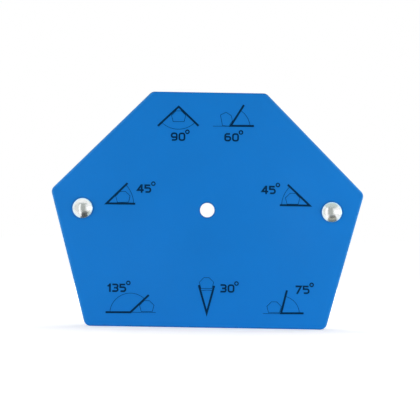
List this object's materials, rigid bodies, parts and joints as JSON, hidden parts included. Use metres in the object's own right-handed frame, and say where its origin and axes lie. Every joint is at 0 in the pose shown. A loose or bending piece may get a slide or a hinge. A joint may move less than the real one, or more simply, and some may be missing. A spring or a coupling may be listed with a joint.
{
  "type": "magnetic welding holder",
  "caption": "Flat polygonal magnetic holder that sets steel at common welding angles: riveted steel plates over ferrite blocks in a moulded frame, with a central hang hole.",
  "frame": {"origin": "middle of the base edge, on the surface that it stands on, midway between the two plates", "axes": "+X along the base edge to the right of a viewer at the printed face, -Y out of the printed face, +Z from the base edge to the top edge"},
  "size_m": [0.1328, 0.0184, 0.1004],
  "materials": {
    "blue_paint": "satin",
    "frame_plastic": "matte",
    "ferrite": "matte",
    "rivet_steel": "polished",
    "tube_steel": "satin"
  },
  "bodies": {
    "root": {"front_plate": "blue_paint", "back_plate": "blue_paint", "spacer_frame": "frame_plastic", "centre_bush": "tube_steel", "rivets": "rivet_steel", "rivet_sleeve_left": "tube_steel", "rivet_sleeve_right": "tube_steel", "magnet_base_left": "ferrite", "magnet_base_right": "ferrite", "magnet_lower_left": "ferrite", "magnet_lower_right": "ferrite", "magnet_upper_left": "ferrite", "magnet_upper_right": "ferrite", "magnet_top": "ferrite"}
  },
  "joints": []
}
